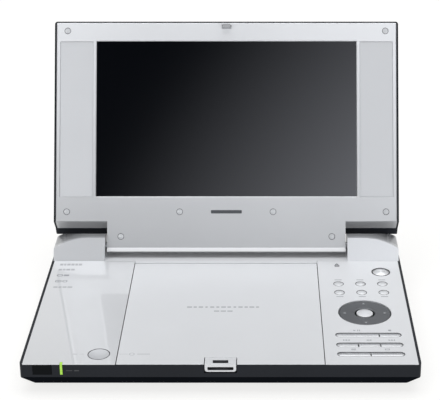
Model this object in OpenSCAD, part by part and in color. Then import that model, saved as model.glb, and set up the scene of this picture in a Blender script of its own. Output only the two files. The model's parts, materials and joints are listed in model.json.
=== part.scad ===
// Clamshell portable disc player: a base with a disc bay and keys, and a screen on a rear hinge.
// Origin: centre of the base's footprint at table level. +X right, +Y to the back, +Z up.

/* [Base] */
// Width of the base and of the screen's shell
base_w = 258; // [250:1:270]
// Depth of the base
base_d = 184; // [180:1:190]
// Height of the base's top surface above the table
top_z = 20; // [19.5:0.1:21]
// Height of the rubber feet
foot_h = 1.5; // [1:0.1:2]
// How far the bottom chamfer comes in
chamfer_in = 8; // [5:0.5:10]
// Height where the bottom chamfer meets the upright wall
chamfer_z = 10.5; // [9:0.5:11]
// Wall thickness at the rim
wall = 1.7; // [1.5:0.1:2]

/* [Screen] */
// How far the screen leans back from upright when it is drawn
lean = 25.6; // [20:0.1:30]
// Thickness of the screen's shell
lid_t = 15.5; // [14:0.5:16]
// Width of the visible picture area
view_w = 195.2; // [190:0.1:198]
// Height of the visible picture area
view_h = 116.8; // [112:0.1:118]
// Lower edge of the picture area above the base, along the screen
view_s = 45.4; // [44:0.1:47]
// Upper edge of the screen's shell above the base, along the screen
lid_top_s = 177; // [175:0.5:177]

/* [Disc bay] */
// Radius of the round well that the disc turns in
well_r = 61.5; // [61:0.1:62]
// Centre of the disc, front to back
disc_y = -17; // [-19:0.5:-15]
// Half width of the disc lid
door_half = 67; // [66:0.5:67]
// Radius of the hub that centres the disc
hub_r = 7.4; // [7.3:0.01:7.45]

/* [Keys] */
// Gap round every key
key_gap = 0.4; // [0.25:0.05:0.4]
// Radius of the small round keys
round_key_r = 3.3; // [3:0.1:4]
// Outer radius of the direction ring
ring_r = 17.8; // [17:0.1:18]
// Radius of the hole in the direction ring
ring_hole_r = 6.85; // [6.7:0.05:7]
// Radius of the enter key
enter_r = 5.6; // [5.4:0.1:6]
// Depth of the bar keys, front to back
bar_d = 4.9; // [4.5:0.1:5]

/* [Hidden] */
$fn = 64;
eps = 0.1;

silver = "#d6d8db";
dark = "#2a2d31";
steel = "#9aa0a6";

half_w = base_w / 2;
half_d = base_d / 2;
front_y = -half_d;
panel_t = 1.8;
panel_z = top_z - panel_t;
lip_t = 0.5;
fit = 0.1;
floor_z = foot_h + 2;
rim_x = half_w - wall;
rim_y = half_d - wall;
corner_r = 2;
panel_x = rim_x - fit;
foot_r = 6;
foot_seat = 0.5;

// Remote-control window and lamp in the front wall
window_x0 = -120.8;
window_x1 = -108.2;
lamp_x0 = -103.2;
lamp_x1 = -101.4;
lamp_back = 2.8;
front_low = 12.2;

// Vent slots and the label's shallow seat under the base
vent_count = 9;
vent_pitch = 5;
vent_w = 2;
vent_x = 21;
vent_y0 = -70;
vent_y1 = -48;
label_box = [-92, -30, -52, -22];
label_depth = 0.3;

// Screen hinge: its axis runs along X through this point
hinge_y = half_d - 16;
hinge_z = top_z + 5.9;
barrel_r = 5.1;
axis_s = 9;
shaft_r = 2.5;
bezel_y = 67.5;

// Screen shell, measured in the screen's own frame
bezel_t = 2;
rim_gap = 1.4;
bezel_top_s = lid_top_s - 0.8;
lid_edge = 0.5;
lid_corner = 2;
front_chamfer = 0.6;
lid_wall = 1.8;
side_s = 26.4;
side_low_s = 17.6;
return_n = lid_t - 5;
return_low_s = side_s - 4.4;
return_t = 1.1;
return_rise = 0.4;
neck_half = 89;
neck_wall = 1.5;
neck_joint_s = 14;
lip_out = 2;
lip_s = 3.7;
lip_start_s = 7.1;
trough_r = 9.2;
trough_half = neck_half + 0.5;
split = 5.1;
plate_in = 99.95;
plate_w = 24.9;
plate_s0 = 45;
plate_s1 = 162;
plate_seat = 1.2;
cap_r = 2.05;
cap_seat_r = 2.3;
cap_seat = 0.9;
cap_top = 0.45;
cap_dome_r = 6;
cap_places = [[119.3, 169.9], [119.3, 33.9], [34.9, 33.9], [78.8, 15.4]];
hook_s = 173;
hook_half = 3;
back_groove = 0.4;

// Ears that hold the hinge
ear_in = 90.1;
ear_out = half_w - 1;
ear_front_y = 61;
ear_top = 15.3;
ear_ridge_y = 76;
ear_setback = 7.5;
ear_wall = 1.8;
ear_back_r = 11;
ear_back_angle = 28;
ear_shoulder = 7.9;
ear_round_x = 102;
ear_round_r = 52;
ear_low_angle = -27;

// Disc lid hinge: the lid's rolled rear edge turns about this axis
door_y = 55.7;
door_z = top_z - 2.5;
door_r = 2.5;
door_seam = 0.5;
deck_half = 69.5;
deck_top = top_z - 3;
deck_floor = top_z - 7;
deck_under = deck_floor - 1.5;
deck_back = 52.8;
frame_half = 64.5;
frame_z = panel_z - 0.8;
catch_y0 = -83.5;
catch_y1 = -79.5;

// Drive below the deck
lens_y = disc_y + 24;
rod_x = 18;
rod_z = 9.2;
rod_r = 1.5;
screw_x = 25;
screw_r = 1.5;
rod_back = 51;

// Key columns, rows and heights
key_top = top_z + 0.4;
key_foot = top_z - 3.5;
board_z = top_z - 5.8;
board_t = 1;
round_cols = [81.5, 97.2, 112.9];
round_rows = [23, 9.4];
ring_x = 97.3;
ring_y = -21;
bar_x0 = 75.5;
bar_x1 = 119.7;
bar_rows = [-53, -66.5, -79];
bar_cuts = [[104.8], [90.2, 104.7], [97.5]];
power_x = 113.3;
power_y = 42.5;
power_r = 6.1;
open_x = -79.3;
open_y = -79;
open_r = 6.8;

// Screen latch at the front
latch_half = 10.1;
latch_back = -83.4;
latch_low = 14.6;
latch_gap = 0.5;
latch_open_z = 13.4;

// Volume wheel in the right wall and sockets in the left wall
wheel_y = -50;
wheel_r = 9.9;
wheel_x = half_w - 0.2 - wheel_r;
wheel_z = 10.8;
wheel_t = 2.4;
jack_ys = [-30, -14, 2];
jack_z = 14.2;
jack_r = 1.8;
jack_sleeve_r = 3.4;
dc_y = 40;
dc_sleeve_r = 3.8;

foot_spots = [[100, 68], [-100, 68], [100, -68], [-100, -68], [0, 0]];
screw_spots = [[108, 52], [-112, 52], [112, -76], [-112, -76], [74, -76], [-62, 74]];

function arc(cx, cy, r, a0, a1, n) =
    [for (i = [0:n]) [cx + r * cos(a0 + (a1 - a0) * i / n), cy + r * sin(a0 + (a1 - a0) * i / n)]];

// A box given by its two corners
module bar(x0, x1, y0, y1, z0, z1) {
    translate([x0, y0, z0]) cube([x1 - x0, y1 - y0, z1 - z0]);
}

// An upright disc or post
module post(x, y, z0, z1, r) {
    translate([x, y, z0]) cylinder(r = r, h = z1 - z0);
}

// A round bar along X
module axle(x0, x1, y, z, r) {
    translate([x0, y, z]) rotate([0, 90, 0]) cylinder(r = r, h = x1 - x0);
}

// A round bar along Y
module rod(x, y0, y1, z, r) {
    translate([x, y0, z]) rotate([-90, 0, 0]) cylinder(r = r, h = y1 - y0);
}

// A (y, z) outline drawn out along X
module along_x(x0, x1, outline) {
    translate([x0, 0, 0]) rotate([90, 0, 90]) linear_extrude(x1 - x0) polygon(outline);
}

// An (x, z) outline drawn out along Y
module along_y(y0, y1, outline) {
    translate([0, y1, 0]) rotate([90, 0, 0]) linear_extrude(y1 - y0) polygon(outline);
}

// A rectangle with round corners, centred
module round_rect(w, d, r) {
    square([w - 2 * r, d], center = true);
    square([w, d - 2 * r], center = true);
    for (x = [-1, 1], y = [-1, 1]) translate([x * (w / 2 - r), y * (d / 2 - r)]) circle(r);
}

module both_sides() {
    children();
    mirror([1, 0, 0]) children();
}

// The base's outer form, or its hollow when it is drawn with an inset
module base_form(inset, low_z, high_z, slope_in, slope_z) {
    hw = half_w - inset;
    hd = half_d - inset;
    intersection() {
        along_x(-hw, hw, [[slope_in - hd, low_z], [hd - slope_in, low_z], [hd, slope_z],
            [hd, high_z], [-hd, high_z], [-hd, slope_z]]);
        along_y(-hd, hd, [[slope_in - hw, low_z], [hw - slope_in, low_z], [hw, slope_z],
            [hw, high_z], [-hw, high_z], [-hw, slope_z]]);
        translate([0, 0, low_z]) linear_extrude(high_z - low_z) round_rect(2 * hw, 2 * hd, corner_r - inset / 2);
    }
}

module jack_axles(x0, x1, r) {
    for (y = jack_ys) axle(x0, x1, y, jack_z, r);
}

module base_shell() {
    post_r = 3.2;
    head_r = 3;
    head_depth = 1.6;
    shank_r = 1.25;
    inner_slope = 6.9;
    scoop_r = 14;
    scoop_depth = 2.5;
    color(dark) difference() {
        union() {
            difference() {
                base_form(0, foot_h, top_z, chamfer_in, chamfer_z);
                base_form(wall, floor_z, top_z + eps, inner_slope, chamfer_z + 0.4);
            }
            for (p = screw_spots) post(p[0], p[1], floor_z - eps, chamfer_z, post_r);
        }
        for (p = screw_spots) {
            post(p[0], p[1], foot_h - eps, foot_h + head_depth, head_r);
            post(p[0], p[1], foot_h, chamfer_z + eps, shank_r);
        }
        for (p = foot_spots) post(p[0], p[1], foot_h - eps, foot_h + foot_seat, foot_r + fit);
        for (i = [0:vent_count - 1]) translate([vent_x + i * vent_pitch, 0, 0])
            bar(0, vent_w, vent_y0, vent_y1, foot_h - eps, floor_z + eps);
        bar(label_box[0], label_box[1], label_box[2], label_box[3], foot_h - eps, foot_h + label_depth);
        // the panels' front lip lies on the front wall
        bar(-rim_x, rim_x, front_y - eps, -rim_y + eps, top_z - lip_t, top_z + eps);
        // openings for the latch, the remote window and the lamp
        bar(-latch_half - latch_gap, latch_half + latch_gap, front_y - eps, -rim_y + eps, latch_open_z,
            top_z);
        bar(window_x0, window_x1, front_y - eps, -rim_y + eps, front_low, top_z);
        bar(lamp_x0, lamp_x1, front_y - eps, -rim_y + eps, front_low, top_z);
        // sockets
        jack_axles(-half_w - eps, -rim_x + 1, jack_sleeve_r + fit);
        axle(-half_w - eps, -rim_x + 1, dc_y, jack_z, dc_sleeve_r + fit);
        // finger scoop and slot for the volume wheel
        post(half_w + scoop_r - scoop_depth, wheel_y, wheel_z - 0.8, wheel_z + wheel_t + 0.8, scoop_r);
        bar(rim_x - 2, half_w, wheel_y - 8, wheel_y + 8, wheel_z - 0.4, wheel_z + wheel_t + 0.4);
    }
}

// A top panel between x0 and x1, with a thin lip over the front wall
module top_plate(x0, x1, back_y) {
    intersection() {
        union() {
            bar(x0, x1, -rim_y + fit, back_y, panel_z, top_z);
            bar(x0, x1, front_y, 0, top_z - lip_t, top_z);
        }
        translate([0, 0, panel_z]) linear_extrude(panel_t) round_rect(base_w, base_d, corner_r);
    }
}

// Clears the disc lid's bearing blocks from below
module bearing_recess(side) {
    x0 = side > 0 ? door_half + 0.4 : -deck_half - 0.3;
    bar(x0, x0 + 2.8, 52.8, 58.6, panel_z - eps, top_z - 0.7);
}

module left_panel() {
    color("#dcdee1") difference() {
        top_plate(-panel_x, -door_half - door_seam, ear_front_y - 0.2);
        post(open_x, open_y, panel_z - eps, top_z + eps, open_r + 0.4);
        bar(lamp_x0, lamp_x1, front_y - eps, front_y + lamp_back, panel_z - eps, top_z + eps);
        bearing_recess(-1);
    }
}

// The slot of one row of bar keys, as a round-ended outline
module bar_slot(row, grow) {
    translate([(bar_x0 + bar_x1) / 2, bar_rows[row]])
        round_rect(bar_x1 - bar_x0 + 2 * grow, bar_d + 2 * key_gap + 2 * grow, bar_d / 2 + key_gap + grow - 0.01);
}

module key_panel() {
    color(silver) difference() {
        top_plate(door_half + door_seam, panel_x, ear_front_y - 0.2);
        for (x = round_cols, y = round_rows) post(x, y, panel_z - eps, top_z + eps, round_key_r + key_gap);
        post(ring_x, ring_y, panel_z - eps, top_z + eps, ring_r + 0.5);
        for (row = [0:2]) translate([0, 0, panel_z - eps]) linear_extrude(panel_t + 2 * eps) bar_slot(row, 0);
        post(power_x, power_y, panel_z - eps, top_z + eps, power_r + key_gap);
        // shallow dish round the power button
        translate([power_x, power_y, top_z - 0.7])
            cylinder(r1 = power_r + key_gap, r2 = power_r + 1, h = 0.8);
        bearing_recess(1);
    }
}

module rear_deck() {
    tongue_y = 57.8;
    color("#b9bcc0") difference() {
        union() {
            bar(-panel_x, panel_x, ear_front_y, rim_y - fit, panel_z, top_z);
            bar(-door_half - 0.2, door_half + 0.2, tongue_y, ear_front_y + eps, panel_z, top_z);
            bar(-trough_half - 0.4, trough_half + 0.4, 66, 86, hinge_z - trough_r - 1.3, panel_z + eps);
        }
        // trough that the screen's lower lip turns in
        axle(-trough_half, trough_half, hinge_y, hinge_z, trough_r);
        axle(-door_half - 1, door_half + 1, door_y, door_z, door_r + 0.35);
        both_sides() bar(94, 108, 69, 83, panel_z - eps, top_z + eps);
    }
}

// Side outline of an ear, with the wall thickness taken off
function ear_side(t) = concat(
    [[ear_front_y + t, top_z - t], [ear_front_y + ear_setback + t, top_z + ear_top - t],
    [ear_ridge_y, top_z + ear_top - t]],
    arc(hinge_y, hinge_z, ear_back_r - t, ear_back_angle, ear_low_angle, 12),
    [[hinge_y + (ear_back_r - t) * cos(ear_low_angle), top_z - t]]);

// Front outline of an ear, with its rounded outer shoulder
function ear_front(t) = concat(
    [[ear_in + t, top_z - eps], [ear_in + t, top_z + ear_top - t]],
    arc(ear_round_x, top_z + ear_top - ear_round_r, ear_round_r - t, 90, 61, 12),
    [[ear_out - t, top_z + ear_shoulder - t], [ear_out - t, top_z - eps]]);

module ear_form(t, low_z) {
    intersection() {
        along_x(ear_in, ear_out, ear_side(t));
        along_y(ear_front_y, rim_y, ear_front(t));
        bar(ear_in, ear_out, ear_front_y, rim_y, low_z, top_z + ear_top - t);
    }
}

module ear_covers() {
    color("#c9ccd0") both_sides() difference() {
        ear_form(0, top_z);
        ear_form(ear_wall, top_z - 1);
        axle(ear_in - 1, ear_in + ear_wall + 1, hinge_y, hinge_z, shaft_r + 0.35);
    }
}

module disc_deck() {
    block_back = 58.2;
    pin_hole_r = 1.05;
    color("#3a3d42") difference() {
        union() {
            bar(-deck_half, deck_half, -89.6, deck_back, deck_under, deck_top);
            both_sides() bar(door_half + 0.6, deck_half, -88, deck_back, deck_top - eps, panel_z - 0.1);
            both_sides() bar(door_half + 0.4, deck_half, deck_back - eps, block_back, deck_under, top_z - 0.8);
        }
        post(0, disc_y, deck_floor, top_z, well_r);
        // window for the turntable and the pickup
        post(0, disc_y, deck_under - eps, deck_floor + eps, 17);
        bar(-15, 15, disc_y, rod_back + 0.5, deck_under - eps, deck_floor + eps);
        // room for the latch, for the lid's hook and for the open button
        bar(-latch_half - 1, latch_half + 1, -90, latch_back + 0.6, deck_under - eps, deck_top + eps);
        bar(-66.5, -60.5, -86.5, -77.5, deck_under - eps, deck_top + eps);
        bar(-deck_half - eps, -66, -86.5, -71.5, deck_under - eps, panel_z);
        axle(-deck_half - eps, deck_half + eps, door_y, door_z, pin_hole_r);
    }
}

module chassis() {
    color(steel) difference() {
        union() {
            bar(-32, 34, -44, 54, 6, 7);
            for (x = [-rod_x, rod_x], y = [-9.5, rod_back + 1]) bar(x - 3, x + 3, y - 1, y + 1, 7 - eps, 11.2);
            bar(screw_x - 2.6, screw_x + 2.6, rod_back, rod_back + 2, 7 - eps, 11.2);
        }
        bar(-15, 15, disc_y + 14, rod_back - 1, 6 - eps, 7 + eps);
        for (x = [-rod_x, rod_x]) rod(x, -12, rod_back + 3, rod_z, rod_r + 0.02);
        rod(screw_x, rod_back - 1, rod_back + 3, rod_z, screw_r + 0.05);
    }
}

module spindle_motor() {
    color("#5c6066") difference() {
        union() {
            post(0, disc_y, 7.02, 10.6, 11);
            post(0, disc_y, 10.5, 11.2, 4);
        }
        post(0, disc_y, 7.8, 12, 1.05);
    }
}

module guide_rods() {
    color("#c8ccd2") for (x = [-rod_x, rod_x]) rod(x, -10.5, rod_back + 2, rod_z, rod_r);
}

module sled_motor() {
    color("#8a8f96") difference() {
        union() {
            bar(screw_x - 4, screw_x + 4, -34, -16, 7.02, 11.2);
            rod(screw_x, -16.1, -14.5, rod_z, 1.9);
        }
        rod(screw_x, -22, -14, rod_z, 0.85);
    }
}

module main_board() {
    color("#1f6b3a") {
        bar(-64, 66, -80, -46, 4.2, 5.4);
        for (x = [-48, -18, 12]) bar(x, x + 16, -72, -56, 5.4, 6.9);
        for (x = [36, 44, 52]) post(x, -64, 5.4, 10.4, 3);
    }
}

module key_board() {
    dome_h = 0.7;
    dome_r = 2.3;
    bar_mids = [[90, 112], [83, 97.5, 112], [86.5, 108.5]];
    color("#1f6b3a") {
        bar(72.5, 122, -84, 50, board_z, board_z + board_t);
        for (x = round_cols, y = round_rows) post(x, y, board_z, board_z + board_t + dome_h, dome_r);
        for (row = [0:2], x = bar_mids[row]) post(x, bar_rows[row], board_z, board_z + board_t + dome_h, 1.8);
        post(ring_x, ring_y, board_z, board_z + board_t + dome_h, dome_r);
        post(power_x, power_y, board_z, board_z + board_t + dome_h, dome_r);
    }
}

module battery_pack() {
    color("#3d6fb0") for (i = [0:2]) bar(-109 + i * 13, -97 + i * 13, -58, 46, 4.2, 16);
}

module ir_window() {
    color("#14181b")
        bar(window_x0 + fit, window_x1 - fit, front_y, -rim_y - 0.3, front_low + fit, top_z - lip_t - fit);
}

module led_pipe() {
    color("#b5e05a") union() {
        bar(lamp_x0 + 0.15, lamp_x1 - 0.15, front_y, -rim_y - 0.2, front_low + fit, top_z);
        bar(lamp_x0 + 0.15, lamp_x1 - 0.15, front_y, front_y + lamp_back - fit, 17, top_z);
    }
}

module feet() {
    color("#1c1e20") for (p = foot_spots) post(p[0], p[1], 0, foot_h + foot_seat - 0.05, foot_r);
}

module base_screws() {
    color(steel) for (p = screw_spots) {
        difference() {
            post(p[0], p[1], foot_h + 0.2, foot_h + 1.55, 2.7);
            bar(p[0] - 1.8, p[0] + 1.8, p[1] - 0.35, p[1] + 0.35, foot_h, foot_h + 0.9);
            bar(p[0] - 0.35, p[0] + 0.35, p[1] - 1.8, p[1] + 1.8, foot_h, foot_h + 0.9);
        }
        post(p[0], p[1], foot_h + 1.5, 9, 1.2);
    }
}

module jacks() {
    color("#17191b") difference() {
        union() {
            jack_axles(-half_w - 0.2, -rim_x + 1, jack_sleeve_r);
            for (y = jack_ys) bar(-127, -113, y - 4, y + 4, jack_z - 3.9, jack_z + 3.5);
        }
        jack_axles(-half_w - 1, -half_w + 14.3, jack_r);
    }
}

module dc_inlet() {
    color("#17191b") {
        difference() {
            union() {
                axle(-half_w - 0.2, -rim_x + 1, dc_y, jack_z, dc_sleeve_r);
                bar(-127, -114, dc_y - 4.5, dc_y + 4.5, jack_z - 4, jack_z + 3.7);
            }
            axle(-half_w - 1, -half_w + 10, dc_y, jack_z, 2.75);
        }
        axle(-half_w + 2, -half_w + 11, dc_y, jack_z, 0.65);
    }
}

module volume_pot() {
    color("#6b6f75") {
        bar(wheel_x - 9, wheel_x + 1.5, wheel_y - 6, wheel_y + 6, 4.4, wheel_z - 0.5);
        post(wheel_x, wheel_y, wheel_z - 0.6, wheel_z + wheel_t + 0.4, 1.5);
    }
}

module base_hinges() {
    color(steel) both_sides() difference() {
        union() {
            bar(97, 105, 71.5, 80.5, 3.6, hinge_z);
            bar(95, 107, 64, 82, 3.6, 5.2);
            axle(97, 105, hinge_y, hinge_z, 4.8);
        }
        axle(96, 106, hinge_y, hinge_z, shaft_r + 0.05);
    }
}

module disc_lid() {
    color(silver) difference() {
        union() {
            bar(-door_half, door_half, -rim_y + fit, door_y, panel_z, top_z);
            bar(-door_half, door_half, front_y, 0, top_z - lip_t, top_z);
            axle(-door_half, door_half, door_y, door_z, door_r);
        }
        bar(-latch_half - latch_gap, latch_half + latch_gap, front_y - eps, latch_back + 0.3,
            panel_z - eps, top_z + eps);
    }
}

module disc_lid_frame() {
    pin_r = 1;
    hub_clear_r = 20;
    color(dark) {
        difference() {
            bar(-frame_half, frame_half, latch_back + 1, deck_back - 0.2, frame_z, panel_z);
            post(0, disc_y, frame_z - eps, panel_z + eps, hub_clear_r);
        }
        both_sides() axle(door_half, deck_half - 0.2, door_y, door_z, pin_r);
    }
}

module disc_lid_hook() {
    color("#3a3d42") {
        bar(-64.3, -63, catch_y0 - 0.5, catch_y1 + 0.5, 12.6, frame_z);
        bar(-65.2, -63, catch_y0 - 0.5, catch_y1 + 0.5, 12.6, 13.8);
    }
}

// Places the screen's own frame: z runs up the screen, y runs back from its front face
module on_screen() {
    translate([0, bezel_y, top_z]) rotate([-lean, 0, 0]) children();
}

module cap_spots() {
    for (p = cap_places) both_sides() translate([p[0], 0, p[1]]) rotate([-90, 0, 0]) children();
}

// The hollow of the hinge barrel and the holes its shafts leave by
module hinge_bore() {
    axle(-neck_half + neck_wall, neck_half - neck_wall, split, axis_s, barrel_r - neck_wall);
    axle(-neck_half - 1, neck_half + 1, split, axis_s, shaft_r + 0.2);
}

module lid_cover() {
    front_n = 0.3;
    back_n = lid_t - lid_wall;
    seat_s = 20;
    seam = split + 0.05;
    color(dark) on_screen() difference() {
        union() {
            intersection() {
                // the sides' underside bends round the ears
                along_x(-half_w, half_w, [[front_n, side_s], [return_n, return_low_s], [lid_t, side_low_s],
                    [lid_t, lid_top_s - lid_edge], [lid_t - lid_edge, lid_top_s], [front_n, lid_top_s]]);
                translate([0, 0, side_low_s]) linear_extrude(lid_top_s) polygon([[-half_w, 0],
                    [-half_w, lid_t - lid_edge], [lid_edge - half_w, lid_t], [half_w - lid_edge, lid_t],
                    [half_w, lid_t - lid_edge], [half_w, 0]]);
                // round corners at the top only
                translate([0, lid_t, lid_top_s / 2]) rotate([90, 0, 0])
                    linear_extrude(lid_t) round_rect(base_w, lid_top_s, lid_corner);
            }
            // rear half of the neck and of the hinge barrel
            along_x(-neck_half, neck_half, [[seam, axis_s], [2 * split, axis_s], [2 * split, neck_joint_s],
                [lid_t, seat_s], [lid_t, seat_s + 4], [seam, seat_s + 4]]);
            intersection() {
                axle(-neck_half, neck_half, split, axis_s, barrel_r);
                bar(-neck_half, neck_half, seam, 2 * split, 0, neck_joint_s);
            }
        }
        // seat of the silver front and the hollow behind it
        bar(-half_w + rim_gap - fit, half_w - rim_gap + fit, -eps, bezel_t + 0.05, seat_s, bezel_top_s + fit);
        along_x(-half_w + 2, half_w - 2, [[bezel_t, 28.2], [return_n, return_low_s + return_t + 1.4],
            [back_n, 21.6], [back_n, lid_top_s - 2.4], [bezel_t, lid_top_s - 2.4]]);
        // room for the silver front's return under each side
        both_sides() along_x(neck_half, half_w - rim_gap + fit, [[-eps, side_s + return_rise + 0.05],
            [bezel_t, side_s + return_rise + 0.05], [return_n + 0.05, return_low_s + return_t + 0.05],
            [return_n + 0.05, side_low_s], [-eps, side_low_s]]);
        bar(-neck_half - 0.2, neck_half + 0.2, -eps, seam, 10, 30);
        along_x(-neck_half + neck_wall, neck_half - neck_wall, [[split, axis_s], [2 * split - neck_wall, axis_s],
            [2 * split - neck_wall, neck_joint_s + 0.6], [back_n, seat_s + 0.8], [back_n, 30], [split, 30]]);
        hinge_bore();
        // shallow decorative groove round the back
        difference() {
            bar(-112, 112, lid_t - back_groove, lid_t + eps, 34, 160);
            bar(-111, 111, lid_t - 2 * back_groove, lid_t + 2 * eps, 35, 159);
        }
    }
}

// Slopes the front edge of an opening back by 45 degrees
module chamfered_edge(hw, s0, s1, c) {
    out = c + eps;
    intersection() {
        along_x(-hw - out, hw + out, [[-eps, s0 - out], [out, s0 + eps], [out, s1 - eps], [-eps, s1 + out]]);
        translate([0, 0, s0 - out]) linear_extrude(s1 - s0 + 2 * out)
            polygon([[-hw - out, -eps], [hw + out, -eps], [hw - eps, out], [eps - hw, out]]);
    }
}

module bezel() {
    bezel_half = half_w - rim_gap;
    slot_half = hook_half + 0.6;
    slot_rise = 1.5;
    color("#e0e3e5") on_screen() difference() {
        union() {
            intersection() {
                along_x(-bezel_half, bezel_half, [[front_chamfer, side_s], [bezel_t, side_s],
                    [bezel_t, bezel_top_s], [front_chamfer, bezel_top_s], [0, bezel_top_s - front_chamfer],
                    [0, side_s + front_chamfer]]);
                translate([0, 0, side_s]) linear_extrude(bezel_top_s - side_s) polygon([
                    [-bezel_half, front_chamfer], [-bezel_half, bezel_t], [bezel_half, bezel_t],
                    [bezel_half, front_chamfer], [bezel_half - front_chamfer, 0],
                    [front_chamfer - bezel_half, 0]]);
            }
            // return under each side
            both_sides() along_x(neck_half + fit, bezel_half, [[front_chamfer, side_s],
                [return_n, return_low_s], [return_n, return_low_s + return_t], [bezel_t, side_s + return_rise],
                [front_chamfer, side_s + return_rise]]);
            bar(-neck_half, neck_half, 0, split, axis_s, side_s + 1);
            intersection() {
                axle(-neck_half, neck_half, split, axis_s, barrel_r);
                bar(-neck_half, neck_half, 0, split, 0, neck_joint_s);
            }
            // lip that flares forward below the neck
            along_x(-neck_half, neck_half, [[0, axis_s + 0.5], [0, lip_start_s], [-lip_out, lip_s + 0.5],
                [-lip_out, lip_s], [2.4, axis_s - 3.9], [1.2, axis_s + 0.5]]);
        }
        bar(-view_w / 2, view_w / 2, -eps, bezel_t + eps, view_s, view_s + view_h);
        chamfered_edge(view_w / 2, view_s, view_s + view_h, front_chamfer);
        both_sides() bar(plate_in, plate_in + plate_w, -eps, plate_seat, plate_s0, plate_s1);
        // hollow of the neck
        bar(-neck_half + neck_wall, neck_half - neck_wall, neck_wall, split + eps, axis_s, side_s + 1 + eps);
        hinge_bore();
        cap_spots() translate([0, 0, -eps]) cylinder(r = cap_seat_r, h = cap_seat + eps);
        bar(-slot_half, slot_half, -eps, plate_seat, hook_s - slot_rise, hook_s + slot_rise);
    }
}

module side_plates() {
    color("#d0d2d5") on_screen() both_sides()
        bar(plate_in + 0.15, plate_in + plate_w - 0.15, 0.5, plate_seat, plate_s0 + 0.15, plate_s1 - 0.15);
}

module screen_glass() {
    color("#050709") on_screen()
        bar(0.15 - view_w / 2, view_w / 2 - 0.15, 0.6, 2.4, view_s + 0.15, view_s + view_h - 0.15);
}

module lcd_module() {
    color(steel) on_screen() {
        bar(-101.5, 101.5, 2.5, 7.6, 41.5, 166);
        bar(-90, 90, 9, 10.4, 48, 110);
        for (x = [-80, 80], s = [54, 104]) translate([x, 7.5, s]) rotate([-90, 0, 0]) cylinder(r = 2, h = 1.6);
    }
}

module speakers() {
    color("#33363a") on_screen() both_sides() translate([113.5, 2.1, 103]) rotate([-90, 0, 0]) {
        cylinder(r = 10.5, h = 3.5);
        cylinder(r = 6.5, h = 7);
    }
}

module screw_caps() {
    color("#b4b7bb") on_screen() cap_spots() intersection() {
        translate([0, 0, -cap_top]) cylinder(r = cap_r, h = cap_top + cap_seat);
        translate([0, 0, cap_dome_r - cap_top]) sphere(r = cap_dome_r, $fn = 96);
    }
}

module screen_hook() {
    tip_n = -4.2;
    color("#8d9196") on_screen() {
        bar(-hook_half, hook_half, tip_n, plate_seat, hook_s - 1, hook_s + 1);
        bar(-hook_half, hook_half, tip_n, tip_n + 1, hook_s - 1, hook_s + 1.6);
    }
}

module screen_hinges() {
    color("#b8bcc2") on_screen() both_sides() {
        axle(80, 108, split, axis_s, shaft_r);
        axle(105.4, 107.6, split, axis_s, 4.2);
        bar(78, 87, 4, 6.2, axis_s - 2, 38);
    }
}

module open_button() {
    color("#c6c9cd") difference() {
        union() {
            post(open_x, open_y, 14.5, top_z - 0.1, open_r);
            post(open_x, open_y, 14.5, 15.7, open_r + 0.8);
        }
        translate([open_x, open_y, top_z + 20.3]) sphere(r = 21.5, $fn = 96);
    }
}

module catch_slider() {
    color("#3a3d42") {
        bar(-84, -67.4, catch_y0, catch_y1, 11, 12.4);
        bar(-68.6, -67.4, catch_y0, catch_y1, 11, 15.6);
        bar(-68.6, -65.5, catch_y0, catch_y1, 14.4, 15.6);
    }
}

module power_button() {
    color("#d9dcdf") {
        intersection() {
            post(power_x, power_y, top_z - 2.6, key_top, power_r);
            translate([power_x, power_y, key_top - 16]) sphere(r = 16, $fn = 96);
        }
        post(power_x, power_y, key_foot, top_z - 2.4, power_r + 0.7);
    }
}

module round_key(i) {
    x = round_cols[i % 3];
    y = round_rows[floor(i / 3)];
    color("#dfe1e4") {
        intersection() {
            post(x, y, key_foot, key_top, round_key_r);
            translate([x, y, key_top - 11]) sphere(r = 11, $fn = 96);
        }
        post(x, y, key_foot, key_foot + 1.1, round_key_r + 0.8);
    }
}

module dpad_ring() {
    plunger_z = top_z - 2.8;
    color("#5f6266") translate([ring_x, ring_y, 0]) rotate_extrude($fn = 128) {
        polygon([[ring_hole_r, plunger_z + 1.1], [ring_r, plunger_z + 1.1], [ring_r, top_z - 0.8],
            [ring_r - 0.7, top_z - 0.3], [12.5, top_z - 0.5], [ring_hole_r + 0.8, top_z - 0.3],
            [ring_hole_r, top_z - 0.7]]);
        translate([9, plunger_z]) square([5, 1.2]);
    }
}

module dpad_cross() {
    cross_z = top_z - 3.9;
    color("#2b2d30") translate([ring_x, ring_y, cross_z]) difference() {
        cylinder(r = 14, h = 0.6);
        translate([0, 0, -eps]) cylinder(r = 7.6, h = 1);
    }
}

module enter_key() {
    color("#dfe1e4") {
        intersection() {
            post(ring_x, ring_y, key_foot, top_z + 0.2, enter_r);
            translate([ring_x, ring_y, top_z + 0.2 - 24]) sphere(r = 24, $fn = 96);
        }
    }
}

// One bar key: its face slopes down to the back, and its ends follow the slot
module bar_key(row, i) {
    edges = concat([bar_x0], bar_cuts[row], [bar_x1]);
    x0 = edges[i] + key_gap;
    x1 = edges[i + 1] - key_gap;
    y = bar_rows[row];
    h = bar_d / 2;
    color("#dfe1e4") intersection() {
        along_x(x0, x1, [[y - h, key_foot], [y + h, key_foot], [y + h, top_z - 0.9],
            [y + h - 0.5, top_z - 0.8], [y - h + 0.6, top_z + 0.2], [y - h, top_z]]);
        translate([0, 0, key_foot - eps]) linear_extrude(5) bar_slot(row, -key_gap);
    }
}

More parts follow.
